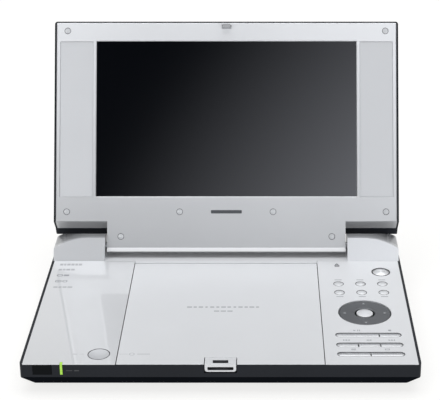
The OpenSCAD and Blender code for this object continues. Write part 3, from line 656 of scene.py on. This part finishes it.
def key_shadow_rings():
    """Painted shadows in the seams round the keys and buttons: dark rings over the panel's rounded edge."""
    key_shadow_width, button_shadow_width = 0.42, 0.50
    key_flange, power_flange = 0.8, 0.7
    wide, close = 0.76, 0.10
    shadow_rings = [shadow_ring_round(key, key_flange, key_shadow_width) for key in ROUND_KEYS]
    shadow_rings.append(shadow_ring_round("open_button", key_flange, button_shadow_width))
    shadow_rings.append(shadow_ring_round("power_button", power_flange, button_shadow_width))
    for keys in BAR_ROWS:
        low, high = box_of(*keys)
        x, y = (low.x + high.x) / 2, (low.y + high.y) / 2
        w, h = high.x - low.x, high.y - low.y
        shadow_rings.append(tuple(oblong(x, y, w + grow, h + grow, (h + grow) / 2 - 0.02) for grow in (wide, close)))
    plates("key_shadow_rings", shadow_rings, TOP - 0.25, TOP + 0.02, "base", "seam_shadow")


def cap_shadow_rings():
    """Painted shadows: dark rings in the seams round the screen's screw caps."""
    shadow_rings = []
    for centre in solid_centres("screw_caps"):
        on_face = FRONT_FACE.inverted() @ (centre * MM) / MM
        shadow_rings.append(circle_ring(on_face, 2.42, 2.08))
    plates("cap_shadow_rings", shadow_rings, -0.12, 0.04, "screen", "gap_shadow", FRONT_FACE)


def hook_slot_shadow():
    """Painted shadow: a dark sheet in the gap above the screen's hook, in its slot."""
    seat_depth = 1.2
    gap = oblong(0, 173.85, 6.8, 1.1)
    plates("hook_slot_shadow", [gap], 0.02 - seat_depth, 0.15 - seat_depth, "screen", "seam_shadow",
           FRONT_FACE)


def latch_slot_shadows():
    """Painted shadows: dark sheets lining the latch tab's two slots."""
    low, high = box_of("latch_tab")
    x, z = (low.x + high.x) / 2, (low.z + high.z) / 2 - 0.3
    shadow_band = 0.17
    top_slot = oblong_ring(x, low.y + 3.75, 9.6 + 2 * shadow_band, 3.5 + 2 * shadow_band, shadow_band)
    plates("latch_top_slot_shadow", [top_slot], high.z - 1.55, high.z - 0.05, "latch_tab", "gap_shadow")
    front_slot = oblong_ring(x, z, 16.3 + 2 * shadow_band, 2.2 + 2 * shadow_band, shadow_band, 0.58, 0.45)
    plates("latch_front_slot_shadow", [front_slot], -low.y - 1.75, -low.y - 0.1, "latch_tab", "gap_shadow",
           TO_FRONT)


def drive_details():
    """Felt and clamping balls on the turntable, and a bright ring round the lens."""
    at = centre_of("turntable")
    felt = circle_ring(at, 13.6, 9.4)
    plates("turntable_felt", [felt], 14.98, 15.25, "turntable", "felt")
    balls, ball_r, ball_reach, ball_z = 3, 1.05, 6.75, 15.9
    bm = bmesh.new()
    for k in range(balls):
        a = math.pi / 2 + 2 * math.pi * k / balls
        spot = Vector((at.x + ball_reach * math.cos(a), at.y + ball_reach * math.sin(a), ball_z))
        bmesh.ops.create_uvsphere(bm, u_segments=20, v_segments=12, radius=ball_r * MM,
                                  matrix=Matrix.Translation(spot * MM))
    mesh = bpy.data.meshes.new("clamp_balls")
    bm.to_mesh(mesh)
    bm.free()
    mesh.shade_smooth()
    add_piece("clamp_balls", mesh, "turntable", "steel")
    lens_rim = circle_ring(centre_of("pickup_lens"), 3.9, 2.9)
    plates("lens_ring", [lens_rim], 12.15, 12.4, "pickup", "steel")


def socket_rings():
    """Bright rims round the sockets on the left side, with a short mark above each."""
    axis_z, mark_z = 14.2, 18.9
    jack_ys = [centre.y for centre in solid_centres("jacks")]
    inlet_y = centre_of("dc_inlet").y
    wall = -box_of("jacks")[0].x
    shell = -box_of("base_shell")[0].x
    rims = [circle_ring((y, axis_z), 3.0, 1.95) for y in jack_ys]
    rims.append(circle_ring((inlet_y, axis_z), 3.5, 2.85))
    marks = [oblong(y, mark_z, 3.2, 0.5) for y in jack_ys + [inlet_y]]
    plates("socket_rims", rims, wall - 0.05, wall + 0.12, "base", "steel", TO_LEFT)
    plates("socket_marks", marks, shell - INK, shell + INK, "base", "print_shell", TO_LEFT)


key_symbols()
open_symbol()
ring_arrows()
left_panel_marks()
lid_marks()
key_shadow_rings()
latch_slot_shadows()
badges()
cap_shadow_rings()
hook_slot_shadow()
front_mark()
drive_details()
socket_rings()
under_label()


# ---------------------------------------------------------------- stage, light, camera

def studio_floor():
    """A pale floor that glows enough to read as near white."""
    look = moulded("studio_floor", (0.22, 0.22, 0.218), 0.6, grain=60, relief=0.0, vary=0.004, specular=0.1)
    shader = look.node_tree.nodes["Principled BSDF"]
    shader.inputs["Emission Color"].default_value = (1.0, 0.995, 0.985, 1)
    shader.inputs["Emission Strength"].default_value = 0.765
    half_size, below_feet = 6.0, 0.3 * MM
    bm = bmesh.new()
    bmesh.ops.create_grid(bm, x_segments=1, y_segments=1, size=half_size)
    mesh = bpy.data.meshes.new("floor")
    bm.to_mesh(mesh)
    bm.free()
    mesh.materials.append(look)
    plane = bpy.data.objects.new("floor", mesh)
    bpy.context.scene.collection.objects.link(plane)
    plane.location.z = -below_feet


def soft_box(name, place, target, width, depth, power):
    """A cool rectangular lamp at a place, aimed at a target."""
    data = bpy.data.lights.new(name, "AREA")
    data.shape = "RECTANGLE"
    data.size = width
    data.size_y = depth
    data.energy = power
    data.color = (0.982, 0.991, 1.0)
    light = bpy.data.objects.new(name, data)
    bpy.context.scene.collection.objects.link(light)
    light.location = place
    light.rotation_euler = (Vector(target) - Vector(place)).to_track_quat("-Z", "Y").to_euler()


def backdrop(sky, direction):
    """The studio's walls: dark behind the camera and bright behind the player."""
    parts = sky.nodes.new("ShaderNodeSeparateXYZ")
    sky.links.new(direction, parts.inputs["Vector"])
    fade = map_range(sky, parts.outputs["Y"], 0.0, 1.0, -0.75, 0.1)
    return ramp(sky, fade, (0.006, 0.006, 0.0072), (0.6, 0.6, 0.594), 0.0, 1.0)


def low_glow(sky, direction):
    """A broad soft glow low in the front right, whose edge the display mirrors."""
    azimuth, elevation = math.radians(25), math.radians(10)
    edge, softness = math.radians(35.5), math.radians(10)
    falloff, strength = 1.35, 1.9
    toward = sky.nodes.new("ShaderNodeVectorMath")
    toward.operation = "DOT_PRODUCT"
    toward.inputs[1].default_value = (math.sin(azimuth) * math.cos(elevation),
                                      -math.cos(azimuth) * math.cos(elevation),
                                      math.sin(elevation))
    sky.links.new(direction, toward.inputs[0])
    angle = math_node(sky, "ARCCOSINE", toward.outputs["Value"])
    inside = map_range(sky, angle, 0.0, 1.0, edge, edge - softness)
    level = math_node(sky, "MULTIPLY", math_node(sky, "POWER", inside, falloff), strength)
    return scaled(sky, (0.985, 1.0, 1.025), level)


def studio_world():
    world = bpy.data.worlds.new("studio")
    bpy.context.scene.world = world
    world.use_nodes = True
    sky = world.node_tree
    direction = sky.nodes.new("ShaderNodeTexCoord").outputs["Generated"]
    total = sky.nodes.new("ShaderNodeVectorMath")
    total.operation = "ADD"
    sky.links.new(backdrop(sky, direction), total.inputs[0])
    sky.links.new(low_glow(sky, direction), total.inputs[1])
    sky.links.new(total.outputs["Vector"], sky.nodes["Background"].inputs["Color"])
    sky.nodes["Background"].inputs["Strength"].default_value = 1.0


def main_camera():
    """A long lens in front of the player, looking down on it."""
    look_down = math.radians(23.07)
    data = bpy.data.cameras.new("camera")
    data.sensor_width = 36
    data.lens = 113.84
    data.shift_x = -0.09625
    camera = bpy.data.objects.new("camera", data)
    bpy.context.scene.collection.objects.link(camera)
    camera.location = (0.0269, -0.871, 0.4661)
    camera.rotation_euler = (math.pi / 2 - look_down, 0, 0)
    bpy.context.scene.camera = camera


studio_floor()
soft_box("overhead", (0, 0.35, 1.6), (0, 0, 0), 2.2, 1.3, 23.4)
soft_box("front_left", (-1.25, -1.45, 1.05), (0, 0, 0.1), 1.3, 1.1, 13)
studio_world()
main_camera()

bpy.context.scene.view_settings.view_transform = "Standard"
bpy.context.scene.view_settings.look = "None"
